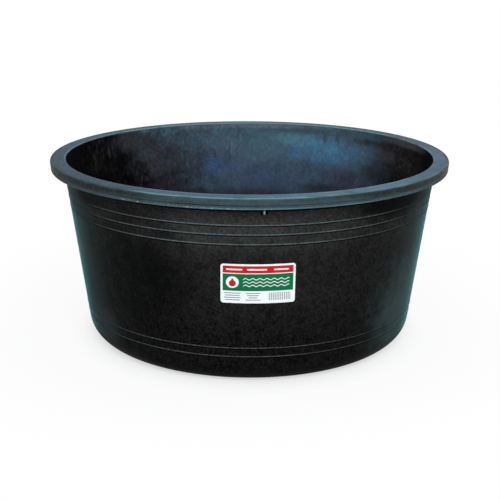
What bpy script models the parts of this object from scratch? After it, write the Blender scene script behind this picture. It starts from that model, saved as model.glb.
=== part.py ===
"""Round stock tank: a moulded plastic tub with a down-turned rim, and the sticker on its front.

Metres, +Z up. The origin is on the ground, on the tub's axis, and the sticker faces -Y.
"""

import math

import bmesh
import bpy

# Driving sizes of the tub
RIM_RADIUS = 0.362
HEIGHT = 0.334
DRAFT_SLOPE = 0.1343
WALL_LINE_RADIUS = 0.3398
WALL_THICKNESS = 0.0063
FLOOR_THICKNESS = 0.0070
CORNER_RADIUS = 0.0454
TURN_STEPS = 72

# Rim: a flat flange, a skirt round its outside and the open channel under it
FLANGE_THICKNESS = 0.0056
MOUTH_ROUNDING = 0.0030
RIM_ROUNDING = 0.0040
SKIRT_DEPTH = 0.0186
SKIRT_INNER_RADIUS = 0.3562
SKIRT_FOOT_RADIUS = 0.3605
GROOVE_DEPTHS = (0.0118, 0.0128, 0.0138)
GROOVE_CUT = 0.0006
LIP_ROUNDING = 0.0022
CHANNEL_FILLET = 0.0030

# Raised lines round the wall, as depths below the top of the rim
LINE_DEPTHS = (0.0501, 0.0660, 0.0824, 0.2656, 0.2813)
LINE_HEIGHT = 0.0004
LINE_FOOT_WIDTH = 0.0032
LINE_CREST_WIDTH = 0.0012

# Base: a flat foot ring round a shallow raised panel
FOOT_RING_WIDTH = 0.0300
PANEL_RISE = 0.0020
PANEL_RAMP = 0.0050

# Moulded nib under the rim, between two short slots in the wall
NIB_ANGLE = math.radians(4.0)
NIB_DEPTH = 0.0284
NIB_SIZE = (0.0046, 0.0030, 0.0092)
NIB_ROUNDING = 0.0006
NIB_STANDING = 0.0016
SLOT_SIZE = (0.0028, 0.0040, 0.0078)
SLOT_CUT = 0.0018
SLOT_SPACING = 0.0084

# Sticker: its middle is a little to the right of the front
LABEL_ANGLE = math.radians(2.6)
LABEL_WIDTH = 0.1195
LABEL_HEIGHT = 0.0688
LABEL_DEPTH = 0.1523
LABEL_CORNER = 0.0045
LABEL_THICKNESS = 0.0005
LABEL_GAP = 0.0003

TUB_COLOUR = (0.016, 0.019, 0.020, 1.0)
LABEL_COLOUR = (0.80, 0.81, 0.80, 1.0)


def arc(centre_r, centre_z, radius, start, end, steps):
    """Points of a profile's arc, with angles in degrees from the outward direction."""
    points = []
    for i in range(steps + 1):
        angle = math.radians(start + (end - start) * i / steps)
        points.append((centre_r + radius * math.cos(angle), centre_z + radius * math.sin(angle)))
    return points


def wall_radius(z):
    """Radius of the wall's outer face at a height above the ground."""
    return WALL_LINE_RADIUS - DRAFT_SLOPE * (HEIGHT - z)


def inner_radius(z):
    """Radius of the wall's inner face at a height above the ground."""
    return wall_radius(z) - WALL_THICKNESS / math.cos(math.atan(DRAFT_SLOPE))


def skirt_radius(z):
    """Radius of the skirt's outer face, which leans in a little on its way down."""
    upper = HEIGHT - RIM_ROUNDING
    lower = HEIGHT - SKIRT_DEPTH
    return SKIRT_FOOT_RADIUS + (RIM_RADIUS - SKIRT_FOOT_RADIUS) * (z - lower) / (upper - lower)


def raised_line(depth):
    """Profile points of one raised line, from its top foot to its bottom foot."""
    middle = HEIGHT - depth
    offsets = (
        (LINE_FOOT_WIDTH / 2, 0.0),
        (LINE_CREST_WIDTH / 2, LINE_HEIGHT),
        (-LINE_CREST_WIDTH / 2, LINE_HEIGHT),
        (-LINE_FOOT_WIDTH / 2, 0.0),
    )
    return [(wall_radius(middle + up) + out, middle + up) for up, out in offsets]


def tub_profile():
    """Half section of the tub, from the axis over the floor, wall and rim, and back under the base."""
    draft = math.degrees(math.atan(DRAFT_SLOPE))
    inner_corner = CORNER_RADIUS - WALL_THICKNESS
    corner_r = wall_radius(CORNER_RADIUS) - CORNER_RADIUS / math.cos(math.radians(draft))
    inner_z = FLOOR_THICKNESS + inner_corner
    inner_r = inner_radius(inner_z) - inner_corner / math.cos(math.radians(draft))
    panel_edge = corner_r - FOOT_RING_WIDTH
    panel_flat = panel_edge - PANEL_RAMP

    floor = [
        (0.0, FLOOR_THICKNESS + PANEL_RISE),
        (panel_flat, FLOOR_THICKNESS + PANEL_RISE),
        (panel_edge, FLOOR_THICKNESS),
    ]
    floor += arc(inner_r, inner_z, inner_corner, -90, -draft, 7)

    mouth_z = HEIGHT - MOUTH_ROUNDING
    mouth_r = inner_radius(mouth_z) + MOUTH_ROUNDING
    rim_top = arc(mouth_r, mouth_z, MOUTH_ROUNDING, 180 - draft, 90, 4)
    rim_top += arc(RIM_RADIUS - RIM_ROUNDING, HEIGHT - RIM_ROUNDING, RIM_ROUNDING, 90, 0, 4)

    groove_top, groove_middle, groove_foot = (HEIGHT - depth for depth in GROOVE_DEPTHS)
    skirt_end = HEIGHT - SKIRT_DEPTH
    skirt = [
        (skirt_radius(groove_top), groove_top),
        (skirt_radius(groove_middle) - GROOVE_CUT, groove_middle),
        (skirt_radius(groove_foot), groove_foot),
    ]
    lip_z = skirt_end + LIP_ROUNDING
    skirt += arc(skirt_radius(lip_z) - LIP_ROUNDING, lip_z, LIP_ROUNDING, 0, -90, 3)
    skirt.append((SKIRT_INNER_RADIUS, skirt_end))

    under = HEIGHT - FLANGE_THICKNESS
    fillet_z = under - CHANNEL_FILLET
    wall_fillet_r = wall_radius(fillet_z) + CHANNEL_FILLET
    channel = arc(SKIRT_INNER_RADIUS - CHANNEL_FILLET, fillet_z, CHANNEL_FILLET, 0, 90, 2)
    channel += arc(wall_fillet_r, fillet_z, CHANNEL_FILLET, 90, 180, 2)

    wall = []
    for depth in LINE_DEPTHS:
        wall += raised_line(depth)
    wall += arc(corner_r, CORNER_RADIUS, CORNER_RADIUS, -draft, -90, 9)

    base = [
        (panel_edge, 0.0),
        (panel_flat, PANEL_RISE),
        (0.0, PANEL_RISE),
    ]
    return floor + rim_top + skirt + channel + wall + base


def label_profile():
    """Closed half section of a thin band round the wall, from which the sticker is cut."""
    spare = 0.01
    top = HEIGHT - LABEL_DEPTH + LABEL_HEIGHT / 2 + spare
    bottom = HEIGHT - LABEL_DEPTH - LABEL_HEIGHT / 2 - spare
    inside = LABEL_GAP
    outside = LABEL_GAP + LABEL_THICKNESS
    return [
        (wall_radius(top) + inside, top),
        (wall_radius(top) + outside, top),
        (wall_radius(bottom) + outside, bottom),
        (wall_radius(bottom) + inside, bottom),
    ]


def new_collection(name):
    collection = bpy.data.collections.new(name)
    bpy.context.scene.collection.children.link(collection)
    return collection


def new_material(name, colour, roughness):
    material = bpy.data.materials.new(name)
    material.use_nodes = True
    shader = material.node_tree.nodes["Principled BSDF"]
    shader.inputs["Base Color"].default_value = colour
    shader.inputs["Roughness"].default_value = roughness
    shader.inputs["Metallic"].default_value = 0.0
    material.diffuse_color = colour
    return material


def turned(name, profile, closed, collection):
    """An object turned from a profile of (radius, height) points about the Z axis."""
    mesh = bpy.data.meshes.new(name)
    edges = [(i, i + 1) for i in range(len(profile) - 1)]
    if closed:
        edges.append((len(profile) - 1, 0))
    mesh.from_pydata([(r, 0.0, z) for r, z in profile], edges, [])
    obj = bpy.data.objects.new(name, mesh)
    collection.objects.link(obj)
    screw = obj.modifiers.new("Turn", "SCREW")
    screw.axis = "Z"
    screw.steps = TURN_STEPS
    screw.render_steps = TURN_STEPS
    screw.use_merge_vertices = True
    screw.merge_threshold = 0.0001
    screw.use_smooth_shade = True
    return obj


def rounded_box(name, size, rounding, edge_axis, collection):
    """A box about its own origin, with the edges along edge_axis rounded, or all edges for None."""
    mesh = bpy.data.meshes.new(name)
    bm = bmesh.new()
    bmesh.ops.create_cube(bm, size=1.0)
    bmesh.ops.scale(bm, vec=size, verts=bm.verts)
    if rounding:
        edges = []
        for edge in bm.edges:
            run = edge.verts[1].co - edge.verts[0].co
            if edge_axis is None or abs(run[edge_axis]) > 0.5 * size[edge_axis]:
                edges.append(edge)
        bmesh.ops.bevel(bm, geom=edges, offset=rounding, segments=4, profile=0.5, affect="EDGES")
    bm.to_mesh(mesh)
    bm.free()
    obj = bpy.data.objects.new(name, mesh)
    collection.objects.link(obj)
    return obj


def place_on_wall(obj, angle, depth, outward, across=0.0):
    """Set a box against the wall, its own -Y facing out along the wall's normal."""
    radius = wall_radius(HEIGHT - depth) + outward
    obj.location = (
        radius * math.sin(angle) + across * math.cos(angle),
        -radius * math.cos(angle) + across * math.sin(angle),
        HEIGHT - depth,
    )
    obj.rotation_euler = (math.atan(DRAFT_SLOPE), 0.0, angle)


def combine(target, tool, operation):
    """Join, cut or keep the overlap of a target with a hidden tool object."""
    tool.hide_render = True
    tool.display_type = "WIRE"
    boolean = target.modifiers.new(tool.name, "BOOLEAN")
    boolean.operation = operation
    boolean.object = tool
    boolean.solver = "EXACT"


def build_tub(parts, cutters):
    tub = turned("tank_shell", tub_profile(), False, parts)
    nib = rounded_box("nib", NIB_SIZE, NIB_ROUNDING, None, cutters)
    place_on_wall(nib, NIB_ANGLE, NIB_DEPTH, NIB_STANDING - NIB_SIZE[1] / 2)
    combine(tub, nib, "UNION")
    for side, name in ((-1, "slot_left"), (1, "slot_right")):
        slot = rounded_box(name, SLOT_SIZE, 0.0, None, cutters)
        place_on_wall(slot, NIB_ANGLE, NIB_DEPTH, SLOT_SIZE[1] / 2 - SLOT_CUT, side * SLOT_SPACING / 2)
        combine(tub, slot, "DIFFERENCE")
    tub.data.materials.append(new_material("tub_plastic", TUB_COLOUR, 0.42))
    return tub


def build_label(parts, cutters):
    label = turned("label", label_profile(), True, parts)
    outline = rounded_box("label_outline", (LABEL_WIDTH, 0.10, LABEL_HEIGHT), LABEL_CORNER, 1, cutters)
    middle_radius = wall_radius(HEIGHT - LABEL_DEPTH)
    outline.location = (
        middle_radius * math.sin(LABEL_ANGLE),
        -middle_radius * math.cos(LABEL_ANGLE),
        HEIGHT - LABEL_DEPTH,
    )
    outline.rotation_euler = (0.0, 0.0, LABEL_ANGLE)
    combine(label, outline, "INTERSECT")
    label.data.materials.append(new_material("label_paper", LABEL_COLOUR, 0.35))
    return label


def main():
    for obj in list(bpy.data.objects):
        bpy.data.objects.remove(obj, do_unlink=True)
    parts = new_collection("stock_tank")
    cutters = new_collection("cutters")
    build_tub(parts, cutters)
    build_label(parts, cutters)
    bpy.context.view_layer.update()


if __name__ == "__main__":
    main()
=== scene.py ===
"""Looks of a round stock tank: a black moulded tub with a paper sticker, on a pale studio floor.

Metres, +Z up, the sticker facing -Y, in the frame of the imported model.
"""

import math
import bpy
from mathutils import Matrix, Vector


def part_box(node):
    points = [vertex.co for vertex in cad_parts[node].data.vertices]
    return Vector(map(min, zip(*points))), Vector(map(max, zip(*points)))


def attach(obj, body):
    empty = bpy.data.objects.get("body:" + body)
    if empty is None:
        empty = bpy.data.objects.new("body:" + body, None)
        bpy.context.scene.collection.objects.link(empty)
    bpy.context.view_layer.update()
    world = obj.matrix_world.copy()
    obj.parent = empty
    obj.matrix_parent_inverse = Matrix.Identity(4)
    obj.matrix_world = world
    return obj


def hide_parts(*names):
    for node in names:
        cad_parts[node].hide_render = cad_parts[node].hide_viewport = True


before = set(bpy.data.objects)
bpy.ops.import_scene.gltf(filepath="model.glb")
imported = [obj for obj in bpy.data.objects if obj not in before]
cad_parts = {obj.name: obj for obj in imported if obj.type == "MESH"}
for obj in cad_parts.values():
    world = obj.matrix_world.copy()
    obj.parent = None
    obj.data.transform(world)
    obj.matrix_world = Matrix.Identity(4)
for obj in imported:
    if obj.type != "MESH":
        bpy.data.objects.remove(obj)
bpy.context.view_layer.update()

from types import SimpleNamespace

import bpy
from bpy.props import FloatProperty, FloatVectorProperty, IntProperty, PointerProperty
from mathutils import Matrix, Vector

bl_info = {
    "name": "Round Stock Tank",
    "version": (1, 0, 0),
    "blender": (4, 5, 0),
    "location": "View3D > Sidebar > Stock Tank",
    "description": "Builds the looks of a round moulded stock tank on its packed model",
    "category": "Object",
}

TUB_HIGH = Vector(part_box("tank_shell")[1])
LABEL_LOW, LABEL_HIGH = (Vector(corner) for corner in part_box("label"))

# Raised lines round the wall, as depths below the top of the rim, and their round crest
LINE_DEPTHS = (0.0501, 0.0660, 0.0824, 0.2656, 0.2813)
LINE_HALF_WIDTH = 0.0016
LINE_HEIGHT = 0.0004
LINE_STEPS = 10

# The step inside the wall at the first raised line: how far it draws in, over what height
STEP_IN = 0.0004
STEP_HEIGHT = 0.0008

# The rim's flange, and the inner face of its skirt
FLANGE_THICKNESS = 0.0056
SKIRT_INNER_RADIUS = 0.3562

# The foot ring under the base, and the raised panel inside it with its sloping edge
FOOT_RING_WIDTH = 0.0300
PANEL_RISE = 0.0020
PANEL_EDGE = 0.005

# Underside marks: a ring groove, and the round gate where the plastic flowed in
GROOVE_RADII = (0.1205, 0.1200, 0.1170, 0.1165)
GROOVE_DEPTH = 0.0004
GATE_RADIUS = 0.0110
GATE_EDGE = 0.0010
GATE_DEPTH = 0.0008

# The nib under the rim: turn from the front, depth below the top of the rim, and its size,
# with the size of the slots on each side of it and how far off its middle they are
NIB_ANGLE = math.radians(4.0)
NIB_DEPTH = 0.0284
NIB_SIZE = (0.0046, 0.0030, 0.0092)
NIB_ROUNDING = 0.0006
SLOT_SIZE = (0.0028, 0.0040, 0.0078)
SLOT_OFFSET = 0.0042

# Smooth shading leaves edges sharper than this
SHARP_ANGLE = math.radians(32)

# The tub's materials in the order of its slots, and the height where the base's finish ends
WALL, RIM, INSIDE, BASE = range(4)
BASE_TOP = 0.034

# Strips and rows that the sticker is cut in, so that it can curve
LABEL_STRIPS = 44
LABEL_ROWS = 20

# Materials place things by the arc round the tub, measured at this radius, and no division
# by a radius goes below the least one
CHART_RADIUS = 0.33
LEAST_RADIUS = 0.001

# How deep the bump of a surface's skin goes
SKIN_DEPTH = 0.0003

# The photograph's width in pixels, which the lens is worked out from
PHOTO_WIDTH_PX = 500

# Soft lights, all of one colour: name, place, width, height, watts
LAMP_COLOUR = (0.95, 0.99, 1.0)
SOFTBOXES = (
    ("Key softbox", (0.3, -2.6, 2.1), 1.6, 1.2, 82),
    ("Top softbox", (0.0, 0.4, 2.8), 2.4, 2.0, 30),
    ("Left softbox", (-2.6, 0.2, 1.0), 1.0, 1.4, 8),
    ("Right softbox", (2.4, 0.9, 0.8), 1.0, 1.4, 16),
)

# Patches on the plastic, real stains and painted light alike, each with its middle as an arc
# from the back and a depth below the rim, its half arc and half depth, the softness of its edge,
# its strength and its colour
# On the wall every patch is painted light: the first three are painted shade under the rim at the
# right and left and on the left of the wall, the last two are painted reflections low on the right
# and left sides
WALL_SHADE_AND_REFLECTIONS = (
    (0.77, 0.04, 0.12, 0.03, 0.8, 0.92, (0.0012, 0.0012, 0.0014)),
    (-0.72, 0.036, 0.075, 0.022, 0.8, 0.75, (0.0015, 0.0015, 0.0018)),
    (-0.85, 0.15, 0.13, 0.13, 1.0, 0.7, (0.0006, 0.0006, 0.0008)),
    (0.685, 0.245, 0.13, 0.12, 1.0, 0.82, (0.034, 0.051, 0.053)),
    (-0.71, 0.272, 0.08, 0.055, 1.0, 0.7, (0.024, 0.029, 0.031)),
)

RIM_STAINS_AND_LIGHT = (
    (-0.745, 0.006, 0.18, 0.0082, 0.7, 0.95, (0.013, 0.014, 0.015)),
    (0.765, 0.0052, 0.15, 0.0072, 0.6, 0.93, (0.013, 0.015, 0.016)),
    # Painted light: this row is painted shade on the top at the left, the next two are painted
    # highlights on the top at the right
    (-0.62, -0.001, 0.29, 0.0042, 0.7, 0.8, (0.025, 0.042, 0.058)),
    (0.85, -0.001, 0.23, 0.0035, 0.8, 0.7, (0.08, 0.17, 0.225)),
    (0.54, -0.001, 0.12, 0.0035, 0.9, 0.6, (0.08, 0.135, 0.185)),
    (0.88, 0.002, 0.05, 0.0025, 0.6, 0.8, (0.016, 0.026, 0.036)),
    (0.73, 0.0022, 0.04, 0.0022, 0.6, 0.8, (0.016, 0.024, 0.032)),
    (0.0, -0.001, 0.48, 0.0045, 0.5, 0.7, (0.04, 0.085, 0.09)),
)

# Inside, the table holds stains and dust and also painted light: the bright blue patches right of
# the middle of the far wall and the pale line under the far rim are painted highlights, and the
# near black patches on the left and at the right end are painted shade
INSIDE_STAINS_AND_LIGHT = (
    (0.16, 0.048, 0.12, 0.038, 0.9, 0.95, (0.054, 0.15, 0.265)),
    (0.095, 0.032, 0.075, 0.018, 0.9, 0.75, (0.082, 0.2, 0.245)),
    (0.165, 0.04, 0.06, 0.016, 0.9, 0.6, (0.062, 0.195, 0.33)),
    (0.15, 0.012, 0.11, 0.008, 0.8, 0.45, (0.044, 0.046, 0.04)),
    (-0.083, 0.088, 0.034, 0.024, 0.9, 0.8, (0.04, 0.092, 0.2)),
    (0.02, 0.11, 0.13, 0.04, 1.0, 0.6, (0.048, 0.072, 0.14)),
    (0.215, 0.115, 0.09, 0.04, 1.0, 0.75, (0.034, 0.033, 0.055)),
    (0.0, 0.152, 0.19, 0.018, 0.9, 0.75, (0.028, 0.024, 0.034)),
    (0.245, 0.046, 0.05, 0.028, 0.9, 0.55, (0.06, 0.125, 0.205)),
    (0.25, 0.024, 0.07, 0.014, 0.9, 0.5, (0.06, 0.08, 0.1)),
    (-0.2, 0.08, 0.12, 0.095, 0.8, 0.9, (0.027, 0.0265, 0.033)),
    (-0.25, 0.045, 0.055, 0.06, 0.9, 0.8, (0.024, 0.023, 0.025)),
    (-0.01, 0.005, 0.18, 0.0065, 0.6, 0.8, (0.11, 0.155, 0.185)),
    (0.178, 0.049, 0.024, 0.011, 0.9, 0.55, (0.066, 0.205, 0.32)),
    (0.222, 0.058, 0.02, 0.01, 0.9, 0.5, (0.056, 0.15, 0.26)),
    (-0.205, 0.12, 0.098, 0.036, 0.9, 0.88, (0.011, 0.01, 0.0115)),
    (-0.275, 0.098, 0.055, 0.034, 0.9, 0.85, (0.003, 0.003, 0.0035)),
    (-0.355, 0.09, 0.122, 0.2, 0.6, 0.98, (0.0012, 0.0012, 0.0014)),
    (-0.14, 0.141, 0.07, 0.01, 0.8, 0.65, (0.013, 0.012, 0.014)),
    (0.185, 0.13, 0.075, 0.016, 0.8, 0.65, (0.014, 0.012, 0.014)),
    (0.3, 0.086, 0.05, 0.022, 0.9, 0.5, (0.013, 0.012, 0.014)),
    (0.39, 0.045, 0.11, 0.06, 1.0, 0.8, (0.011, 0.01, 0.0105)),
    (-0.27, 0.018, 0.058, 0.026, 0.8, 0.85, (0.036, 0.037, 0.043)),
    (-0.235, 0.052, 0.03, 0.018, 0.9, 0.7, (0.042, 0.052, 0.064)),
    (-0.302, 0.074, 0.038, 0.03, 0.8, 0.8, (0.0012, 0.0012, 0.0014)),
    (0.325, 0.038, 0.042, 0.02, 0.9, 0.65, (0.044, 0.041, 0.041)),
    (0.385, 0.006, 0.1, 0.011, 0.8, 0.9, (0.06, 0.063, 0.068)),
    (0.322, 0.0215, 0.105, 0.0105, 0.9, 0.86, (0.014, 0.0115, 0.0105)),
    (-0.02, 0.0294, 0.0022, 0.011, 0.6, 0.6, (0.12, 0.165, 0.19)),
    (-0.092, 0.0424, 0.0022, 0.011, 0.6, 0.45, (0.1, 0.135, 0.15)),
    (-0.131, 0.0611, 0.002, 0.011, 0.6, 0.4, (0.08, 0.095, 0.105)),
    (-0.233, 0.0043, 0.016, 0.005, 0.8, 0.7, (0.075, 0.14, 0.165)),
    (0.187, 0.0093, 0.013, 0.008, 0.8, 0.6, (0.06, 0.12, 0.18)),
    (0.165, 0.0258, 0.006, 0.012, 0.8, 0.6, (0.028, 0.026, 0.018)),
)


class TankSizes(bpy.types.PropertyGroup):
    """Sizes of the tub."""

    rim_radius: FloatProperty(
        name="Rim radius", description="Outer radius of the rim",
        default=TUB_HIGH.x, unit="LENGTH")
    height: FloatProperty(
        name="Height", description="From the ground to the top of the rim",
        default=TUB_HIGH.z, unit="LENGTH")
    wall_line_radius: FloatProperty(
        name="Wall line radius",
        description="Outer radius of the wall's line carried up to the rim's top",
        default=0.3398, unit="LENGTH")
    wall_slope: FloatProperty(
        name="Wall slope", description="How far the wall draws in per metre down",
        default=0.1343)
    wall_thickness: FloatProperty(
        name="Wall thickness", description="Thickness of the wall",
        default=0.0063, unit="LENGTH")
    floor_thickness: FloatProperty(
        name="Floor thickness", description="Thickness of the floor",
        default=0.0070, unit="LENGTH")
    corner_radius: FloatProperty(
        name="Corner radius", description="Outer radius of the rounded bottom corner",
        default=0.0454, unit="LENGTH")
    skirt_depth: FloatProperty(
        name="Skirt depth", description="How far the rim's skirt hangs below the top of the rim",
        default=0.0186, unit="LENGTH")
    turn_steps: IntProperty(
        name="Turn steps", description="Steps round the tub",
        default=288, min=32)


class LabelSizes(bpy.types.PropertyGroup):
    """Sizes and place of the sticker."""

    angle: FloatProperty(
        name="Angle", description="Turn of the sticker's middle from the front, towards the right",
        default=math.radians(2.6), subtype="ANGLE")
    width: FloatProperty(
        name="Width", description="Width of the sticker",
        default=0.1195, unit="LENGTH")
    height: FloatProperty(
        name="Height", description="Height of the sticker",
        default=0.0688, unit="LENGTH")
    corner: FloatProperty(
        name="Corner", description="Rounding of the sticker's corners",
        default=0.0045, unit="LENGTH")
    thickness: FloatProperty(
        name="Thickness", description="Thickness of the paper",
        default=0.0003, unit="LENGTH")
    gap: FloatProperty(
        name="Gap", description="From the wall to the back of the sticker",
        default=0.00035, unit="LENGTH")


class PlasticColours(bpy.types.PropertyGroup):
    """Colours of the tub's plastic."""

    wall: FloatVectorProperty(
        name="Wall", description="Black of the outer wall, low down",
        default=(0.0005, 0.00049, 0.00047), subtype="COLOR")
    # The top of the wall's painted reflection: the wall is painted greyer under the rim in this
    # colour
    wall_top: FloatVectorProperty(
        name="Wall top", description="Greyer black of the outer wall under the rim",
        default=(0.0280, 0.0292, 0.0275), subtype="COLOR")
    rim: FloatVectorProperty(
        name="Rim skirt", description="Weathered grey of the rim's skirt",
        default=(0.034, 0.060, 0.070), subtype="COLOR")
    # Partly weathering, and partly a painted reflection of the bright surroundings on the flat top
    rim_top: FloatVectorProperty(
        name="Rim top", description="Weathered blue grey of the rim's flat top",
        default=(0.038, 0.094, 0.142), subtype="COLOR")
    inside: FloatVectorProperty(
        name="Inside", description="Black of the inner wall",
        default=(0.0020, 0.0020, 0.0024), subtype="COLOR")
    # Partly a real blue film, and partly a painted reflection of the light on the inner wall
    film_and_reflection: FloatVectorProperty(
        name="Film", description="Blue film on the inner wall",
        default=(0.066, 0.116, 0.170), subtype="COLOR")
    # Colour of real scuffs, and of the painted highlight on the raised lines
    scuff_and_highlight: FloatVectorProperty(
        name="Scuff", description="Rubbed edges and raised lines",
        default=(0.085, 0.120, 0.130), subtype="COLOR")


class LabelColours(bpy.types.PropertyGroup):
    """Colours of the sticker's paper and inks."""

    paper: FloatVectorProperty(
        name="Paper", description="White sticker paper",
        default=(0.76, 0.80, 0.81), subtype="COLOR")
    green: FloatVectorProperty(
        name="Green", description="Green ink",
        default=(0.002, 0.135, 0.045), subtype="COLOR")
    red: FloatVectorProperty(
        name="Red", description="Red ink",
        default=(0.50, 0.010, 0.014), subtype="COLOR")
    grey: FloatVectorProperty(
        name="Grey", description="Grey ink of the fine marks",
        default=(0.20, 0.21, 0.22), subtype="COLOR")


class StageSettings(bpy.types.PropertyGroup):
    """Camera, floor and lights."""

    camera_distance: FloatProperty(
        name="Camera distance", description="From the tub's axis to the camera, along the ground",
        default=1.9711, unit="LENGTH")
    camera_height: FloatProperty(
        name="Camera height", description="From the ground to the camera",
        default=0.7175, unit="LENGTH")
    camera_pitch: FloatProperty(
        name="Camera pitch", description="How far the camera looks down",
        default=math.radians(16.1056), subtype="ANGLE")
    camera_yaw: FloatProperty(
        name="Camera yaw", description="How far the camera looks to the right of the axis",
        default=math.radians(0.0461), subtype="ANGLE")
    camera_roll: FloatProperty(
        name="Camera roll", description="How far the camera is tipped",
        default=math.radians(0.2646), subtype="ANGLE")
    focal_length_px: FloatProperty(
        name="Focal length", description="Focal length in pixels of the photograph",
        default=1087.72)
    floor_size: FloatProperty(
        name="Floor size", description="Side of the floor",
        default=30.0, unit="LENGTH")


def tank():
    return bpy.context.scene.tank_sizes


def wall_radius(z):
    """Radius of the wall's outer face at a height."""
    return tank().wall_line_radius - tank().wall_slope * (tank().height - z)


def inner_radius(z):
    """Radius of the wall's inner face at a height."""
    return wall_radius(z) - tank().wall_thickness * math.hypot(1, tank().wall_slope)


def ring_inner():
    """Inner radius of the foot ring under the base."""
    corner = tank().corner_radius
    return wall_radius(corner) - corner - FOOT_RING_WIDTH


def rounded(corners):
    """An outline from corners of (radius, height, rounding, steps), each rounded to an arc."""
    points = []
    for i, (r, z, rounding, steps) in enumerate(corners):
        here = Vector((r, z))
        if not rounding:
            points.append(here)
            continue
        back = (Vector(corners[i - 1][:2]) - here).normalized()
        ahead = (Vector(corners[i + 1][:2]) - here).normalized()
        half = back.angle(ahead) / 2
        centre = here + (back + ahead).normalized() * rounding / math.sin(half)
        first = here + back * rounding / math.tan(half) - centre
        last = here + ahead * rounding / math.tan(half) - centre
        turn = math.atan2(first.x * last.y - first.y * last.x, first.dot(last))
        for k in range(steps + 1):
            points.append(centre + Matrix.Rotation(turn * k / steps, 2) @ first)
    return points


def floor_corners():
    """Corners of the floor and the inner wall, from the axis up to the mouth."""
    size = tank()
    floor = size.floor_thickness
    step_z = size.height - LINE_DEPTHS[0]
    below_step = step_z - STEP_HEIGHT
    return [
        (0.0, floor + PANEL_RISE, 0, 0),
        (ring_inner() - PANEL_EDGE, floor + PANEL_RISE, 0.004, 3),
        (ring_inner(), floor, 0.004, 3),
        (inner_radius(floor), floor, size.corner_radius - size.wall_thickness, 16),
        (inner_radius(below_step), below_step, 0, 0),
        (inner_radius(step_z) + STEP_IN, step_z, 0, 0),
        (inner_radius(size.height), size.height, 0.0030, 6),
    ]


def rim_corners():
    """Corners of the rim's outer edge, its skirt, and the channel under it."""
    edge, top = tank().rim_radius, tank().height
    foot = top - tank().skirt_depth
    flange = top - FLANGE_THICKNESS
    return [
        (edge, top, 0.0040, 8),
        (edge - 0.0009, top - 0.0116, 0.0008, 2),
        (edge - 0.0016, top - 0.0128, 0.0008, 3),
        (edge - 0.0011, top - 0.0138, 0.0008, 2),
        (edge - 0.0015, foot, 0.0022, 6),
        (SKIRT_INNER_RADIUS, foot, 0.0008, 2),
        (SKIRT_INNER_RADIUS, flange, 0.0030, 3),
        (wall_radius(flange), flange, 0.0030, 3),
    ]


def raised_line(depth):
    """Outline of one raised line, a round crest on the wall."""
    points = []
    for k in range(LINE_STEPS + 1):
        along = 1 - 2 * k / LINE_STEPS
        out = LINE_HEIGHT * math.cos(along * math.pi / 2) ** 2
        z = tank().height - depth + LINE_HALF_WIDTH * along
        points.append((wall_radius(z) + out, z, 0, 0))
    return points


def base_corners():
    """Corners of the bottom corner and the underside, from the wall to the axis."""
    groove, gate = PANEL_RISE - GROOVE_DEPTH, PANEL_RISE - GATE_DEPTH
    return [
        (wall_radius(0.0), 0.0, tank().corner_radius, 22),
        (ring_inner(), 0.0, 0.003, 3),
        (ring_inner() - PANEL_EDGE, PANEL_RISE, 0.003, 3),
        (GROOVE_RADII[0], PANEL_RISE, 0, 0),
        (GROOVE_RADII[1], groove, 0, 0),
        (GROOVE_RADII[2], groove, 0, 0),
        (GROOVE_RADII[3], PANEL_RISE, 0, 0),
        (GATE_RADIUS + GATE_EDGE, PANEL_RISE, 0, 0),
        (GATE_RADIUS, gate, 0, 0),
        (0.0, gate, 0, 0),
    ]


def tub_outline():
    """Half section of the tub, down the outer side and back to the axis."""
    corners = floor_corners() + rim_corners()
    for depth in LINE_DEPTHS:
        corners += raised_line(depth)
    return rounded(corners + base_corners())


def deselect():
    if bpy.context.mode != "OBJECT":
        bpy.ops.object.mode_set(mode="OBJECT")
    bpy.ops.object.select_all(action="DESELECT")


def select_only(piece):
    deselect()
    bpy.context.view_layer.objects.active = piece
    piece.select_set(True)


def apply_all(piece):
    """Apply a piece's modifiers, then its place, turn and scale."""
    select_only(piece)
    for modifier in list(piece.modifiers):
        bpy.ops.object.modifier_apply(modifier=modifier.name)
    bpy.ops.object.transform_apply(location=True, rotation=True, scale=True)


def turned(name, outline, steps):
    """Draw an outline vertex by vertex from a plane merged to a point, and spin it round Z."""
    deselect()
    bpy.ops.mesh.primitive_plane_add(size=0.01, location=(0, 0, 0))
    piece = bpy.context.active_object
    piece.name = name
    bpy.ops.object.mode_set(mode="EDIT")
    bpy.ops.mesh.merge(type="CENTER")
    start = outline[0]
    bpy.ops.transform.translate(value=(start.x, 0, start.y))
    for here, ahead in zip(outline[:-1], outline[1:]):
        bpy.ops.mesh.extrude_region_move(
            TRANSFORM_OT_translate={"value": (ahead.x - here.x, 0, ahead.y - here.y)})
    bpy.ops.mesh.select_all(action="SELECT")
    bpy.ops.mesh.spin(steps=steps, angle=2 * math.pi, center=(0, 0, 0), axis=(0, 0, 1))
    bpy.ops.mesh.select_all(action="SELECT")
    bpy.ops.mesh.remove_doubles(threshold=0.00001)
    bpy.ops.mesh.normals_make_consistent(inside=False)
    bpy.ops.object.mode_set(mode="OBJECT")
    return piece


def rounded_box(name, size, rounding):
    """A small box about the origin with its edges rounded."""
    deselect()
    bpy.ops.mesh.primitive_cube_add(size=1.0, location=(0, 0, 0))
    piece = bpy.context.active_object
    piece.name = name
    bpy.ops.object.mode_set(mode="EDIT")
    bpy.ops.transform.resize(value=size)
    if rounding:
        bpy.ops.mesh.bevel(offset=rounding, segments=3, affect="EDGES")
    bpy.ops.object.mode_set(mode="OBJECT")
    return piece


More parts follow.
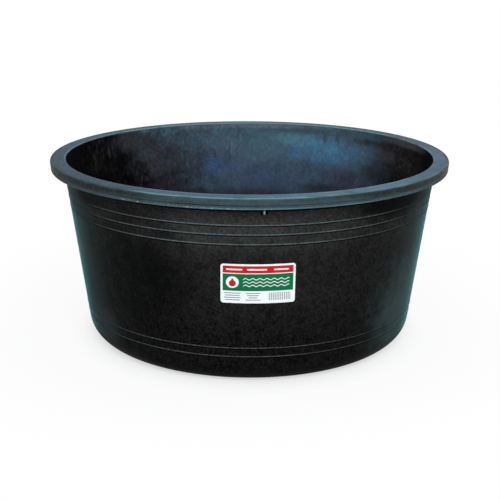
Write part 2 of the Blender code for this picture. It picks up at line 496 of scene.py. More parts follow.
def join_to_wall(tub, tool, operation, outward, across):
    """Set a box against the wall where the nib is, and join it to the tub or cut it out."""
    z = tank().height - NIB_DEPTH
    radius = wall_radius(z) + outward
    tool.location = (
        radius * math.sin(NIB_ANGLE) + across * math.cos(NIB_ANGLE),
        -radius * math.cos(NIB_ANGLE) + across * math.sin(NIB_ANGLE),
        z,
    )
    tool.rotation_euler = (math.atan(tank().wall_slope), 0, NIB_ANGLE)
    select_only(tub)
    modifier = tub.modifiers.new("Join", "BOOLEAN")
    modifier.object = tool
    modifier.operation = operation
    modifier.solver = "EXACT"
    bpy.ops.object.modifier_apply(modifier=modifier.name)
    bpy.data.objects.remove(tool, do_unlink=True)


class STOCKTANK_OT_tub(bpy.types.Operator):
    """Turn the tub, with its nib and the two slots under the rim"""

    bl_idname = "stocktank.tub"
    bl_label = "Add Tub"

    def execute(self, context):
        tub = turned("tub", tub_outline(), tank().turn_steps)
        nib = rounded_box("nib", NIB_SIZE, NIB_ROUNDING)
        join_to_wall(tub, nib, "UNION", outward=0.0001, across=0.0)
        for side in (-1, 1):
            slot = rounded_box("slot", SLOT_SIZE, 0.0)
            join_to_wall(tub, slot, "DIFFERENCE", outward=0.0002, across=side * SLOT_OFFSET)
        finish_tub(tub)
        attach(tub, "root")
        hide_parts("tank_shell")
        return {"FINISHED"}


def finish_tub(tub):
    """Give the tub's wall, rim, inside and base their own finishes, and shade it smooth."""
    base = wall_material("Tub base", 0.0)
    for material in (wall_material("Tub wall", 0.56), rim_material(), inside_material(), base):
        tub.data.materials.append(material)
    size = tank()
    mouth = inner_radius(size.height)
    slack = 0.0005
    skirt_foot = size.height - size.skirt_depth - slack
    underside_top = 2 * PANEL_RISE
    for face in tub.data.polygons:
        x, y, z = face.center
        up = face.normal.z
        radius = math.hypot(x, y)
        facing_in = face.normal.x * x + face.normal.y * y < 0
        outside = radius > wall_radius(z) - slack
        if z > skirt_foot and (outside or radius > mouth and up > 0.3):
            face.material_index = RIM
        elif z > underside_top and not outside and (facing_in or up > 0.5):
            face.material_index = INSIDE
        elif z > BASE_TOP:
            face.material_index = WALL
        else:
            face.material_index = BASE
    select_only(tub)
    bpy.ops.object.shade_smooth_by_angle(angle=SHARP_ANGLE)


class STOCKTANK_OT_label(bpy.types.Operator):
    """Cut the sticker, lay it on the wall and print it"""

    bl_idname = "stocktank.label"
    bl_label = "Add Sticker"

    def execute(self, context):
        size = context.scene.label_sizes
        label = flat_label(size)
        lay_on_wall(label, bpy.data.objects["tub"], size)
        label.data.materials.append(label_material())
        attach(label, "root")
        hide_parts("label")
        return {"FINISHED"}


def flat_label(size):
    """A flat upright sheet with rounded corners, cut in narrow strips so that it can curve."""
    deselect()
    bpy.ops.mesh.primitive_plane_add(size=1.0, location=(0, 0, 0), rotation=(math.pi / 2, 0, 0))
    label = bpy.context.active_object
    label.name = "sticker"
    bpy.ops.object.mode_set(mode="EDIT")
    bpy.ops.transform.resize(value=(size.width, 1, size.height))
    bpy.ops.mesh.bevel(offset=size.corner, segments=8, affect="VERTICES")
    for axis, parts, length in (("X", LABEL_STRIPS, size.width), ("Z", LABEL_ROWS, size.height)):
        normal = Vector((axis == "X", 0, axis == "Z"))
        for k in range(1, parts):
            bpy.ops.mesh.select_all(action="SELECT")
            bpy.ops.mesh.bisect(plane_co=normal * ((k / parts - 0.5) * length), plane_no=normal)
    bpy.ops.object.mode_set(mode="OBJECT")
    apply_all(label)
    layer = label.data.uv_layers.new(name="Print")
    for loop in label.data.loops:
        place = label.data.vertices[loop.vertex_index].co
        layer.data[loop.index].uv = (place.x / size.width + 0.5, place.z / size.height + 0.5)
    label.data.uv_layers.active = layer
    return label


def lay_on_wall(label, tub, size):
    """Stand the sheet before the wall, press it on, and thicken it."""
    z = (LABEL_LOW.z + LABEL_HIGH.z) / 2
    away = wall_radius(z) + 0.02
    label.location = (away * math.sin(size.angle), -away * math.cos(size.angle), z)
    label.rotation_euler = (math.atan(tank().wall_slope), 0, size.angle)
    press = label.modifiers.new("Press on", "SHRINKWRAP")
    press.target = tub
    press.wrap_method = "PROJECT"
    press.use_project_y = True
    press.use_negative_direction = True
    press.wrap_mode = "ABOVE_SURFACE"
    press.offset = size.gap
    solid = label.modifiers.new("Thickness", "SOLIDIFY")
    solid.thickness = size.thickness
    solid.offset = 1.0
    apply_all(label)
    bpy.ops.object.shade_smooth_by_angle(angle=SHARP_ANGLE)


class Value:
    """A value inside a shader tree. Sums and products with it add math nodes."""

    def __init__(self, graph, socket):
        self.graph = graph
        self.socket = socket

    def __add__(self, other):
        return self.graph.math("ADD", self, other)

    __radd__ = __add__

    def __sub__(self, other):
        return self.graph.math("SUBTRACT", self, other)

    def __rsub__(self, other):
        return self.graph.math("SUBTRACT", other, self)

    def __mul__(self, other):
        return self.graph.math("MULTIPLY", self, other)

    def __truediv__(self, other):
        return self.graph.math("DIVIDE", self, other)

    def __abs__(self):
        return self.graph.math("ABSOLUTE", self)


class Graph:
    """Short calls that add nodes to one shader tree."""

    def __init__(self, tree):
        self.tree = tree

    def node(self, kind, **settings):
        node = self.tree.nodes.new(kind)
        for name, value in settings.items():
            setattr(node, name, value)
        return node

    def values(self, node):
        """A node's results by name, such as patch_scale for Patch scale."""
        return SimpleNamespace(**{
            socket.name.lower().replace(" ", "_"): Value(self, socket)
            for socket in node.outputs if socket.name})

    def feed(self, socket, value):
        """Link a value to a socket, or set the socket to a number or a colour."""
        value = getattr(value, "socket", value)
        if isinstance(value, bpy.types.NodeSocket):
            self.tree.links.new(value, socket)
            return
        if hasattr(value, "__len__"):
            value = tuple(value)
            if socket.type == "RGBA" and len(value) == 3:
                value += (1.0,)
        socket.default_value = value

    def fed(self, kind, inputs, **settings):
        """Add a node and feed its inputs, each by its name or its number."""
        node = self.node(kind, **settings)
        for key, value in inputs.items():
            self.feed(node.inputs[key], value)
        return node

    def place(self):
        """Where a point of the object lies."""
        return self.node("ShaderNodeTexCoord").outputs["Object"]

    def axes(self, vector):
        """The three numbers of a vector."""
        node = self.fed("ShaderNodeSeparateXYZ", {0: vector})
        return [Value(self, socket) for socket in node.outputs]

    def math(self, operation, first, second=0.0, clamp=False):
        node = self.fed("ShaderNodeMath", {0: first, 1: second},
                        operation=operation, use_clamp=clamp)
        return Value(self, node.outputs[0])

    def hypot(self, x, y):
        return self.math("SQRT", x * x + y * y)

    def mix(self, factor, first, second):
        node = self.fed("ShaderNodeMix", {"Factor": factor, "A": first, "B": second},
                        data_type="RGBA", clamp_factor=True)
        return Value(self, node.outputs["Result"])

    def span(self, value, low, high, to_low=0.0, to_high=1.0):
        """Smooth step of a value from low to high."""
        node = self.fed("ShaderNodeMapRange", {
            "Value": value, "From Min": low, "From Max": high,
            "To Min": to_low, "To Max": to_high}, interpolation_type="SMOOTHSTEP")
        return Value(self, node.outputs["Result"])

    def line(self, value, middle, half_width, soft):
        """A mask that is 1 within half_width of the middle value."""
        return self.span(abs(value - middle), half_width + soft, half_width)

    def noise(self, vector, scale, detail=4.0, roughness=0.55, distortion=0.0):
        node = self.fed("ShaderNodeTexNoise", {
            "Vector": vector, "Scale": scale, "Detail": detail, "Roughness": roughness,
            "Distortion": distortion})
        return Value(self, node.outputs["Fac"])


def mould_grain(graph, given):
    """Cloudy patches, fine mottling, and the skin that a mould leaves on plastic."""
    place = graph.place()
    patches = graph.noise(place, given.patch_scale, 5.0, 0.62, 0.3)
    mottle = graph.noise(place, given.mottle_scale, 3.0, 0.7)
    flecks = graph.noise(place, given.mottle_scale * 1.6, 2.0, 0.5)
    return {
        "Patches": graph.span(patches, 0.36, 0.68),
        "Mottle": graph.span(mottle, 0.38, 0.64),
        "Skin": graph.noise(place, given.skin_scale, 2.0, 0.5),
        "Flecks": graph.span(flecks, 0.60, 0.72),
    }


def flow_streaks(graph, given):
    """Streaks drawn round the tub without a seam: upright where the scale across is the larger."""
    place = graph.place()
    x, y, z = graph.axes(place)
    radius = graph.hypot(x, y)
    safe = graph.math("MAXIMUM", radius, LEAST_RADIUS)
    joined = graph.fed("ShaderNodeCombineXYZ", {
        0: x / safe * given.across_scale, 1: y / safe * given.across_scale,
        2: (z - radius) * given.along_scale})
    streaks = graph.noise(joined.outputs[0], 1.0, 3.0, 0.6)
    gaps = graph.span(graph.noise(place, 9.0, 3.0, 0.6), 0.42, 0.62)
    return {
        "Streaks": graph.span(streaks, 0.46, 0.72),
        "Broken": graph.span(streaks, 0.55, 0.74) * gaps,
    }


def tub_chart(graph, given):
    """Places on the tub: depth below the rim, radius, arc from the back, turn from the sides."""
    place = graph.place()
    x, y, z = graph.axes(place)
    radius = graph.hypot(x, y)
    return {
        "Depth": given.height - z,
        "Radius": radius,
        "Around": graph.math("ARCTAN2", x, y) * CHART_RADIUS,
        "Facing": abs(y) / graph.math("MAXIMUM", radius, LEAST_RADIUS),
        "Place": place,
    }


def oval_patch(graph, given):
    """An oval patch with a ragged edge, soft for an edge of 1 and harder for less."""
    sideways = (given.around - given.middle_around) / given.half_around
    down = (given.depth - given.middle_depth) / given.half_depth
    ragged = graph.noise(graph.place(), 26.0, 5.0, 0.65) * 1.3 - 0.65
    away = graph.hypot(sideways, down) + ragged
    return {"Mask": graph.span(away, 1.1, 1.1 - given.edge)}


def box_mask(graph, given):
    """A rounded box on the sticker, in millimetres from its middle."""
    x = abs(given.across - given.middle_across) - (given.half_width - given.corner)
    y = abs(given.up - given.middle_up) - (given.half_height - given.corner)
    outside = graph.hypot(graph.math("MAXIMUM", x, 0.0), graph.math("MAXIMUM", y, 0.0))
    inside = graph.math("MINIMUM", graph.math("MAXIMUM", x, y), 0.0)
    return {"Mask": graph.span(outside + inside - given.corner, 0.10, -0.10)}


# Shared groups: the function that fills each one, and its inputs with their defaults
GROUPS = {
    "Mould grain": (mould_grain, {
        "Patch scale": 16.0, "Mottle scale": 220.0, "Skin scale": 620.0}),
    "Flow streaks": (flow_streaks, {"Across scale": 60.0, "Along scale": 5.0}),
    "Tub chart": (tub_chart, {"Height": 0.334}),
    "Stain": (oval_patch, {
        "Around": 0.0, "Depth": 0.0, "Middle around": 0.0, "Middle depth": 0.05,
        "Half around": 0.1, "Half depth": 0.03, "Edge": 1.0}),
    "Box mask": (box_mask, {
        "Across": 0.0, "Up": 0.0, "Middle across": 0.0, "Middle up": 0.0,
        "Half width": 10.0, "Half height": 5.0, "Corner": 0.5}),
}


def make_group(name, fill, inputs):
    """A shader node group with named sockets, filled by its function."""
    tree = bpy.data.node_groups.new(name, "ShaderNodeTree")
    graph = Graph(tree)
    for key, default in inputs.items():
        socket = tree.interface.new_socket(key, in_out="INPUT", socket_type="NodeSocketFloat")
        socket.default_value = default
    results = fill(graph, graph.values(graph.node("NodeGroupInput")))
    for key in results:
        kind = "NodeSocketVector" if key == "Place" else "NodeSocketFloat"
        tree.interface.new_socket(key, in_out="OUTPUT", socket_type=kind)
    out = graph.node("NodeGroupOutput").inputs
    for key, value in results.items():
        graph.feed(out[key], value)


def use_group(graph, name, *values):
    """Add a shared group to a tree, with values in the order of its inputs."""
    if name not in bpy.data.node_groups:
        make_group(name, *GROUPS[name])
    node = graph.node("ShaderNodeGroup", node_tree=bpy.data.node_groups[name])
    for socket, value in zip(node.inputs, values):
        graph.feed(socket, value)
    return graph.values(node)


def patch_mask(graph, chart, around, depth, half_around, half_depth, edge=1.0):
    """The mask of one patch, used for stains and painted light alike, by its middle and its half
    sizes in metres.
    """
    return use_group(graph, "Stain", chart.around, chart.depth, around, depth,
                     half_around, half_depth, edge).mask


def lay_stains_and_light(graph, chart, colour, stains):
    """Lay a table of patches, stains and painted light, over a colour."""
    for *place, strength, tint in stains:
        colour = graph.mix(patch_mask(graph, chart, *place) * strength, colour, tint)
    return colour


def shade(colour, share):
    """A colour made paler or darker."""
    return [share * part for part in colour]


def cleared(owner):
    """Empty the shader tree of a material or world, and return the calls that fill it."""
    owner.use_nodes = True
    owner.node_tree.nodes.clear()
    return Graph(owner.node_tree)


def new_material(name):
    """A material with only a Principled shader, and the calls to fill its tree."""
    material = bpy.data.materials.new(name)
    graph = cleared(material)
    shader = graph.node("ShaderNodeBsdfPrincipled")
    graph.fed("ShaderNodeOutputMaterial", {"Surface": shader.outputs[0]})
    return material, graph, shader


def new_plastic(name, patch, mottle, across, along):
    """A material for the tub, with the grain, streaks and chart that it is painted by."""
    material, graph, shader = new_material(name)
    grain = use_group(graph, "Mould grain", patch, mottle)
    streaks = use_group(graph, "Flow streaks", across, along)
    chart = use_group(graph, "Tub chart", tank().height)
    return material, graph, shader, grain, streaks, chart


def feed_shader(graph, shader, colour, roughness, height, strength):
    """Feed a material's varying colour, roughness and bump to its shader."""
    bump = graph.fed("ShaderNodeBump", {
        "Strength": strength, "Distance": SKIN_DEPTH, "Height": height})
    graph.feed(shader.inputs["Base Color"], colour)
    graph.feed(shader.inputs["Roughness"], roughness)
    graph.feed(shader.inputs["Normal"], bump.outputs["Normal"])


def plastic_gloss(shader, level, sheen=0.0):
    """The constant gloss values of the tub's plastic, and its teal sheen at grazing angles."""
    shader.inputs["Metallic"].default_value = 0.0
    shader.inputs["Specular IOR Level"].default_value = level
    shader.inputs["Sheen Weight"].default_value = sheen
    shader.inputs["Sheen Roughness"].default_value = 0.21
    shader.inputs["Sheen Tint"].default_value = (0.12, 0.56, 0.60, 1.0)


def wall_material(name, sheen):
    """Black outer wall: mottled satin skin, greyer under the rim as a painted reflection, with
    raised lines that are partly rubbed and partly painted highlight, and painted shade.
    """
    colours = bpy.context.scene.plastic_colours
    material, graph, shader, grain, streaks, chart = new_plastic(
        name, patch=13.0, mottle=230.0, across=16.0, along=30.0)
    mix, span, line, noise = graph.mix, graph.span, graph.line, graph.noise

    # Mottled black, painted lighter towards the rim and in the middle of the front and back, as a
    # painted reflection of the bright floor
    pale = span(chart.depth, 0.125, 0.045, 0.0, 0.66) + span(chart.depth, 0.270, 0.140, 0.0, 0.34)
    pale = pale * span(chart.facing, 0.84, 0.985, 0.46, 1.0)
    pale = graph.math("MULTIPLY", pale, grain.patches * 0.45 + 0.75, clamp=True)
    low = mix(pale, colours.wall, shade(colours.wall_top, 0.6))
    high = mix(pale, shade(colours.wall, 19.5), shade(colours.wall_top, 1.42))
    cloud = span(noise(chart.place, 70.0, 3.0, 0.6), 0.36, 0.64)
    colour = mix(grain.mottle * 0.72 + cloud * 0.28, low, high)
    colour = mix(grain.flecks * 0.07, colour, (0.055, 0.062, 0.062))

    # The sides: a painted reflection that pales them above the bottom corner, the table of painted
    # shade and painted reflections, and darker mottling
    side = span(chart.facing, 0.68, 0.36)
    side_reflection = side * 0.7 * span(chart.depth, 0.318, 0.294)
    colour = mix(side_reflection, colour, (0.018, 0.021, 0.023))
    colour = lay_stains_and_light(graph, chart, colour, WALL_SHADE_AND_REFLECTIONS)
    blotch = (1.0 - grain.mottle) * side * 0.34
    colour = mix(blotch, colour, colours.wall)

    # Painted shadow on the wall in the gap just under the skirt
    gap = span(chart.depth, 0.0285, 0.0265)
    colour = mix(gap * 0.85, colour, (0.001, 0.0015, 0.0015))

    # The raised lines: painted shadow under their feet, and on top a pale colour that is partly
    # rubbed wear and partly a painted highlight, fading towards the sides and teal in the middle
    lines, line_shadows = 0.0, 0.0
    for depth in LINE_DEPTHS:
        lines = lines + line(chart.depth, depth - 0.0002, 0.0005, 0.0007)
        line_shadows = line_shadows + line(chart.depth, depth + 0.002, 0.0004, 0.0008)
    wear_and_highlight = span(chart.facing, 0.5, 0.88) * span(chart.depth, 0.2, 0.1, 0.42, 0.58)
    wear_and_highlight = wear_and_highlight * (grain.mottle * 0.6 + 0.75)
    lean = graph.math("SINE", chart.around / CHART_RADIUS)
    wear_and_highlight = wear_and_highlight * (1.04 - lean * 0.3)
    faint = line(chart.around, 0.845, 0.05, 0.045) * span(chart.depth, 0.07, 0.08)
    wear_and_highlight = wear_and_highlight * (1.0 - faint * 0.34)
    colour = mix(line_shadows * 0.9, colour, colours.wall)
    teal = span(chart.facing, 0.84, 0.93) * span(chart.depth, 0.2, 0.1)
    rubbed = mix(teal, (0.105, 0.108, 0.108), shade(colours.scuff_and_highlight, 1.15))
    colour = mix(lines * wear_and_highlight, colour, rubbed)

    # Painted light at the nib: a painted highlight makes it paler, and painted shade darkens the
    # two slots beside it
    nib_arc = CHART_RADIUS * (math.pi - NIB_ANGLE)
    slots = (line(chart.around, nib_arc, 0.0056, 0.0006)
             * line(chart.depth, NIB_DEPTH, 0.0038, 0.0006))
    colour = mix(slots, colour, (0.0004, 0.0004, 0.0004))
    nib = (line(chart.around, nib_arc, 0.0011, 0.0008)
           * line(chart.depth, NIB_DEPTH - 0.0002, 0.001, 0.0036))
    colour = mix(nib, colour, (0.380, 0.380, 0.330))

    # A faint broken scuff round the bottom corner
    rub = line(chart.depth, 0.3245, 0.0006, 0.001) * streaks.streaks * 0.16
    colour = mix(rub, colour, colours.scuff_and_highlight)

    rough = grain.mottle * 0.08 + (0.56 - grain.patches * 0.1)
    feed_shader(graph, shader, colour, rough, grain.mottle * 0.5 + grain.skin, 0.35)
    plastic_gloss(shader, 0.012, sheen)
    return material


def rim_material():
    """Rim: weathered to a blue grey and painted lighter on its flat top as a painted reflection,
    streaked along its run, with pale edges that are painted highlights broken up like rubbed wear.
    """
    colours = bpy.context.scene.plastic_colours
    size = tank()
    mouth = inner_radius(size.height)
    material, graph, shader, grain, streaks, chart = new_plastic(
        "Tub rim", patch=22.0, mottle=230.0, across=11.0, along=240.0)
    mix, span, line, noise = graph.mix, graph.span, graph.line, graph.noise

    # Grey skirt, painted paler low down as a painted reflection on its lip, and a bluer flat top
    # that is partly weathered and partly a painted reflection of the bright surroundings
    colour = mix(grain.patches, colours.rim, (0.028, 0.044, 0.044))
    colour = mix(grain.mottle * 0.4, colour, shade(colours.rim, 1.45))
    colour = mix(span(chart.depth, 0.0115, 0.0165, 0.0, 0.7), colour, shade(colours.rim, 1.3))
    top = span(chart.depth, 0.003, 0.0008)
    flat = top * span(chart.radius, size.rim_radius - 0.004, size.rim_radius - 0.007)
    colour = mix(flat * 0.8, colour, shade(colours.rim_top, 0.96))
    colour = lay_stains_and_light(graph, chart, colour, RIM_STAINS_AND_LIGHT)

    # Purple and olive in the grey, painted shade in the groove, and dark streaks
    tone = noise(chart.place, 110.0, 4.0, 0.68)
    purple = mix(flat, (0.050, 0.045, 0.052), (0.078, 0.083, 0.130))
    colour = mix(span(tone, 0.52, 0.63) * 0.5, colour, purple)
    olive = mix(flat, (0.044, 0.049, 0.036), (0.052, 0.100, 0.118))
    colour = mix(span(tone, 0.48, 0.38) * 0.5, colour, olive)
    # Painted shade in the groove of the skirt, deeper at two places left of the front
    groove = line(chart.depth, 0.012, 0.0006, 0.0008)
    deeper = line(chart.around, -0.846, 0.026, 0.014) + line(chart.around, -0.97, 0.05, 0.03)
    groove = groove * (deeper * 0.35 + 0.5)
    colour = mix(groove, colour, shade(colours.rim, 0.35))
    colour = mix(streaks.streaks * 0.42, colour, shade(colours.rim, 0.36))

    # Painted highlights on the rounded edges of the flat top, set by their place round the rim and
    # broken up like rubbed wear
    whole = span(streaks.streaks, 0.75, 0.15, 0.25, 1.0)
    front = span(chart.facing, 0.45, 0.92)
    inner_edge = line(chart.radius, mouth + 0.0024, 0.0009, 0.0012)
    outer_edge = line(chart.radius, size.rim_radius - 0.003, 0.001, 0.0014)
    right = line(chart.around, 0.83, 0.07, 0.06)
    inner_share = front * (right * 0.35 + 1.0)
    outer_share = (front * 0.6 + 0.4) * (1.0 - right * 0.6)
    from_back = abs(chart.around)
    back = span(from_back, 0.66, 0.52)
    inner_share = inner_share * 1.45 + back * 0.55
    far_edge = line(chart.radius, mouth + 0.0075, 0.003, 0.004) * span(from_back, 0.3, 0.1)
    edges = inner_edge * inner_share + outer_edge * outer_share + far_edge * 0.35
    edges = edges * (1.0 - line(chart.around, -0.74, 0.09, 0.07) * 0.85)
    rubbed = edges * top * whole * 0.8

    # Painted shade along the far rim's rounded outer edge, narrower towards the rim's ends
    outline = (size.rim_radius - chart.radius) / span(from_back, 0.0, 0.3, 0.0185, 0.0078)
    outline = back * span(outline, 1.0, 0.68)
    outline = outline * span(from_back, 0.05, 0.18, 0.35, 1.0)
    rubbed = rubbed * (1.0 - outline)
    colour = mix(outline * 0.8, colour, (0.012, 0.028, 0.033))

    # The lip of the skirt: a painted reflection of the floor along it, brightest in the front
    # middle and flecked where it is rubbed, and painted shade low on the skirt at the ends
    lip = line(chart.depth, size.skirt_depth - 0.001, 0.0009, 0.0013)
    middle = span(chart.facing, 0.93, 0.995)
    flecks = grain.flecks * 0.75 + middle * 0.4 + 0.12
    flecks = (flecks + line(chart.around, 0.89, 0.026, 0.024) * 0.3) * front
    low_ends = span(chart.depth, 0.012, 0.015) * span(chart.facing, 0.72, 0.35)
    colour = mix(low_ends * 0.8, colour, (0.012, 0.015, 0.016))
    rubbed = graph.math("ADD", rubbed, lip * flecks, clamp=True)
    # The painted highlights on the edges and the painted reflection on the lip, in a pale blue
    colour = mix(rubbed, colour, (0.125, 0.225, 0.270))

    # Painted glints: a few bright flecks on the lip at the left front
    sparks = span(noise(chart.place, 480.0, 2.0, 0.5), 0.6, 0.68)
    sparks = sparks * line(chart.around, -0.94, 0.09, 0.02)
    sparks = sparks * line(chart.depth, size.skirt_depth - 0.0016, 0.0012, 0.001)
    colour = mix(sparks * 0.85, colour, (0.42, 0.52, 0.52))

    rough = grain.mottle * 0.12 + 0.46
    feed_shader(graph, shader, colour, rough, grain.mottle * 0.6 + grain.skin, 0.35)
    plastic_gloss(shader, 0.03)
    return material


def inside_material():
    """Inner wall: black under a patchy blue film that is partly a painted reflection of the light,
    with fine upright streaks and scuffs, and painted highlights and shade from its table.
    """
    colours = bpy.context.scene.plastic_colours
    material, graph, shader, grain, streaks, chart = new_plastic(
        "Tub inside", patch=30.0, mottle=150.0, across=70.0, along=50.0)
    mix, span, noise = graph.mix, graph.span, graph.noise

    # The blue film, partly a real film and partly a painted reflection of the light, thickest on
    # the far and near walls and towards the rim, with the table of stains and painted light
    film_and_reflection = span(chart.facing, 0.4, 0.92) * span(chart.depth, 0.2, 0.03, 0.42, 1.0)
    film_and_reflection = graph.math("MULTIPLY", film_and_reflection, grain.patches * 0.4 + 0.7, clamp=True)
    colour = mix(film_and_reflection, colours.inside, colours.film_and_reflection)
    band = span(chart.depth, 0.055, 0.047) * film_and_reflection
    colour = mix(band * 0.55, colour, (0.06, 0.12, 0.15))
    colour = lay_stains_and_light(graph, chart, colour, INSIDE_STAINS_AND_LIGHT)

    # Wisps of dust at the left and right ends
    wisps = use_group(graph, "Flow streaks", 50.0, 42.0)
    cloud = span(noise(chart.place, 52.0, 3.0, 0.6), 0.4, 0.6)
    dust = patch_mask(graph, chart, -0.372, 0.03, 0.088, 0.046) * (wisps.streaks * 0.8 + 0.08)
    colour = mix(dust * cloud, colour, (0.052, 0.047, 0.046))
    spots = span(noise(chart.place, 120.0, 4.0, 0.7), 0.46, 0.62)
    dust = patch_mask(graph, chart, 0.365, 0.042, 0.125, 0.06) * (wisps.streaks * 0.25 + spots)
    colour = mix(dust * 0.6, colour, (0.04, 0.034, 0.034))

    # Plain low down and on the floor, which the photograph doesn't show
    deep = span(chart.depth, 0.165, 0.25)
    shown = 1.0 - deep
    plain = mix(grain.patches, (0.011, 0.013, 0.017), (0.019, 0.023, 0.03))
    colour = mix(deep, colour, plain)

    # Mottling: dark, brown, dark upright runs, and a blue grey tinge, with the dark mottling
    # heavier towards the left, where it is painted shade
    left = span(chart.around, 0.02, -0.16)
    dark = (1.0 - grain.mottle) * (left * 0.2 + 0.22)
    colour = mix(dark, colour, colours.inside)
    brown = span(noise(chart.place, 64.0, 4.0, 0.65), 0.5, 0.62)
    brown = brown * shown * (left * 0.3 + 0.2)
    colour = mix(brown * film_and_reflection, colour, (0.044, 0.033, 0.038))
    runs = use_group(graph, "Flow streaks", 44.0, 24.0)
    colour = mix(runs.broken * shown * 0.55, colour, (0.012, 0.012, 0.017))
    tinge = span(noise(chart.place, 44.0, 4.0, 0.65), 0.46, 0.62) * film_and_reflection * shown
    tinge = tinge * span(left, 1.0, 0.0, 0.35, 1.0)
    colour = mix(tinge * 0.34, colour, (0.068, 0.07, 0.11))

    # Pale broken scuffs
    scuffs = streaks.broken * (film_and_reflection * 0.26 + 0.07) * shown
    rubbed = mix(film_and_reflection, (0.110, 0.100, 0.098), (0.120, 0.155, 0.165))
    colour = mix(scuffs, colour, rubbed)

    ridges = streaks.streaks * shown * 0.8
    feed_shader(graph, shader, colour, streaks.streaks * 0.16 + 0.42, ridges + grain.skin, 0.25)
    plastic_gloss(shader, 0.004)
    return material


def label_material():
    """White paper with a red bar, a green panel with waves and a drop, grey rules and stripes."""
    inks = bpy.context.scene.label_colours
    size = bpy.context.scene.label_sizes
    material, graph, shader = new_material("Sticker print")
    mix, span, line, noise = graph.mix, graph.span, graph.line, graph.noise
    u, v, _ = graph.axes(graph.node("ShaderNodeUVMap", uv_map="Print").outputs[0])
    across = (u - 0.5) * (size.width * 1000)
    up = (v - 0.5) * (size.height * 1000)

    def box(x, y, half_width, half_height, corner=0.4):
        return use_group(
            graph, "Box mask", across, up, x, y, half_width, half_height, corner).mask

    colour = mix(box(0, 25.0, 56.4, 6.2), inks.paper, inks.red)
    colour = mix(box(0, 2.4, 56.4, 15.0), colour, inks.green)

    # Three white waves across the green panel
    swell = graph.math("SINE", across * 0.55) * 1.3
    inside = box(13.0, 2.6, 37.0, 11.6)
    for level in (-3.2, 2.6, 8.4):
        wave = line(up - swell, level, 0.62, 0.15)
        colour = mix(wave * inside, colour, inks.paper)

    # A white disc with a red drop at the left of the panel
    colour = mix(box(-41.0, 2.6, 10.2, 10.2, 10.2), colour, inks.paper)
    colour = mix(box(-41.0, 0.6, 5.6, 5.6, 5.6), colour, inks.red)
    tip = (up - 2.0) * 0.62 + abs(across + 41.0)
    above = span(tip, 5.0, 4.8) * span(up, 1.8, 2.0)
    colour = mix(above, colour, inks.red)

    # Plain white dashes in the red bar, and grey rules under the panel
    for x, half in ((-38.0, 13.0), (-2.0, 16.0), (37.0, 12.0)):
        colour = mix(box(x, 25.0, half, 1.3, 1.3), colour, inks.paper)
    for row, y in enumerate((-16.6, -20.6, -24.6, -28.6)):
        for x, half in ((-41.0, 13.5 - 1.5 * (row % 2)), (-8.0, 12.0 - 2.5 * (row % 3))):
            colour = mix(box(x, y, half, 0.85, 0.7) * 0.9, colour, inks.grey)

    # A block of plain even stripes at the lower right
    stripe = graph.math("SINE", across * 2.1)
    block = box(34.0, -22.4, 18.0, 6.8) * span(stripe, -0.1, 0.1)
    colour = mix(block * 0.9, colour, inks.grey)

    place = graph.place()
    fibres = noise(place, 900.0, 3.0, 0.6)
    ripple = noise(place, 38.0, 2.0) * 6.0 + fibres
    feed_shader(graph, shader, colour, fibres * 0.18 + 0.3, ripple, 0.18)
    shader.inputs["Specular IOR Level"].default_value = 0.05
    return material


class STOCKTANK_OT_stage(bpy.types.Operator):
    """Set the pale floor, the soft lights, the plain background and the camera"""

    bl_idname = "stocktank.stage"
    bl_label = "Set Stage"

    def execute(self, context):
        set_camera(context.scene.stage_settings)
        set_floor(context.scene.stage_settings)
        set_world()
        set_lights()
        context.scene.view_settings.view_transform = "Standard"
        return {"FINISHED"}


def set_camera(stage):
    """The camera at the photograph's place, looking down a little."""
    data = bpy.data.cameras.new("Photo camera")
    camera = bpy.data.objects.new("Photo camera", data)
    bpy.context.scene.collection.objects.link(camera)
    data.sensor_width = 36.0
    data.lens = stage.focal_length_px * data.sensor_width / PHOTO_WIDTH_PX
    data.clip_end = 200.0
    turn = (Matrix.Rotation(-stage.camera_yaw, 4, "Z")
            @ Matrix.Rotation(math.pi / 2 - stage.camera_pitch, 4, "X")
            @ Matrix.Rotation(stage.camera_roll, 4, "Z"))
    place = Matrix.Translation((0, -stage.camera_distance, stage.camera_height))
    camera.matrix_world = place @ turn
    bpy.context.scene.camera = camera


def shown_rays(graph):
    """1 for the rays that see the background: camera, glossy and transmission rays."""
    rays = graph.values(graph.node("ShaderNodeLightPath"))
    seen = rays.is_camera_ray + rays.is_glossy_ray
    return graph.math("ADD", seen, rays.is_transmission_ray, clamp=True)


def set_floor(stage):
    """A wide pale floor that shows near white and keeps a soft shadow."""
    deselect()
    bpy.ops.mesh.primitive_plane_add(size=stage.floor_size, location=(0, 0, -0.0005))
    floor = bpy.context.active_object
    floor.name = "studio_floor"
    bpy.ops.object.transform_apply(location=True, rotation=True, scale=True)
    material = bpy.data.materials.new("Pale floor")
    graph = cleared(material)
    matt = graph.fed("ShaderNodeBsdfDiffuse", {"Color": (0.80, 0.80, 0.80)})
    glow = graph.fed("ShaderNodeEmission", {"Color": (1.0, 1.0, 1.0)})
    length = graph.fed("ShaderNodeVectorMath", {0: graph.place()}, operation="LENGTH")
    away = graph.values(length).value
    glow_share = graph.span(away, 0.32, 0.90, 0.90, 1.0) * graph.span(away, 0.24, 0.34, 0.6, 1.0)
    blend = graph.fed("ShaderNodeMixShader", {
        0: shown_rays(graph) * glow_share, 1: matt.outputs[0], 2: glow.outputs[0]})
    graph.fed("ShaderNodeOutputMaterial", {"Surface": blend.outputs[0]})
    floor.data.materials.append(material)


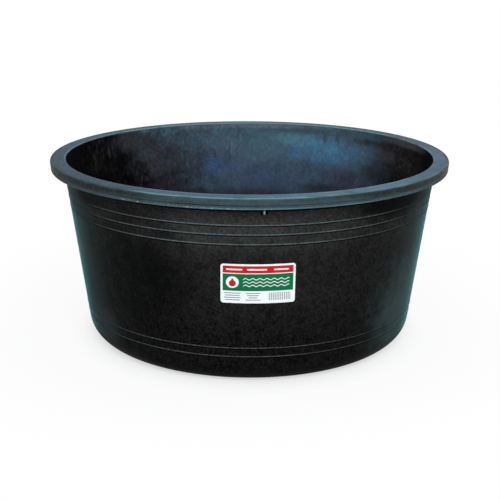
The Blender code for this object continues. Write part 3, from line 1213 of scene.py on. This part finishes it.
def set_world():
    """Soft even light, with a white background for the rays that see it."""
    world = bpy.data.worlds.new("Studio")
    bpy.context.scene.world = world
    graph = cleared(world)
    back = graph.fed("ShaderNodeBackground", {
        "Color": (1.0, 1.0, 1.0), "Strength": shown_rays(graph) * 0.70 + 0.30})
    graph.fed("ShaderNodeOutputWorld", {"Surface": back.outputs[0]})


def set_lights():
    """A key from the front and above, a wide top light, and a weak fill from each side."""
    aim = Vector((0, 0, tank().height * 0.6))
    for name, place, width, height, watts in SOFTBOXES:
        data = bpy.data.lights.new(name, "AREA")
        data.shape = "RECTANGLE"
        data.size = width
        data.size_y = height
        data.energy = watts
        data.color = LAMP_COLOUR
        lamp = bpy.data.objects.new(name, data)
        bpy.context.scene.collection.objects.link(lamp)
        lamp.location = place
        lamp.rotation_euler = (aim - Vector(place)).to_track_quat("-Z", "Y").to_euler()


class STOCKTANK_PT_panel(bpy.types.Panel):
    """Sidebar panel with the tank's operators and settings."""

    bl_label = "Stock Tank"
    bl_idname = "STOCKTANK_PT_panel"
    bl_space_type = "VIEW_3D"
    bl_region_type = "UI"
    bl_category = "Stock Tank"

    def draw(self, context):
        layout = self.layout
        for operator in OPERATORS:
            layout.operator(operator.bl_idname)
        for name in SETTINGS:
            group = getattr(context.scene, name)
            box = layout.box()
            for key in group.__annotations__:
                box.prop(group, key)


OPERATORS = (STOCKTANK_OT_tub, STOCKTANK_OT_label, STOCKTANK_OT_stage)
SETTINGS = {
    "tank_sizes": TankSizes,
    "label_sizes": LabelSizes,
    "plastic_colours": PlasticColours,
    "label_colours": LabelColours,
    "stage_settings": StageSettings,
}
CLASSES = tuple(SETTINGS.values()) + OPERATORS + (STOCKTANK_PT_panel,)


def register():
    for cls in CLASSES:
        bpy.utils.register_class(cls)
    for name, group in SETTINGS.items():
        setattr(bpy.types.Scene, name, PointerProperty(type=group))


def unregister():
    for name in SETTINGS:
        delattr(bpy.types.Scene, name)
    for cls in reversed(CLASSES):
        bpy.utils.unregister_class(cls)


def main():
    register()
    bpy.ops.stocktank.tub()
    bpy.ops.stocktank.label()
    bpy.ops.stocktank.stage()


if __name__ == "__main__":
    main()
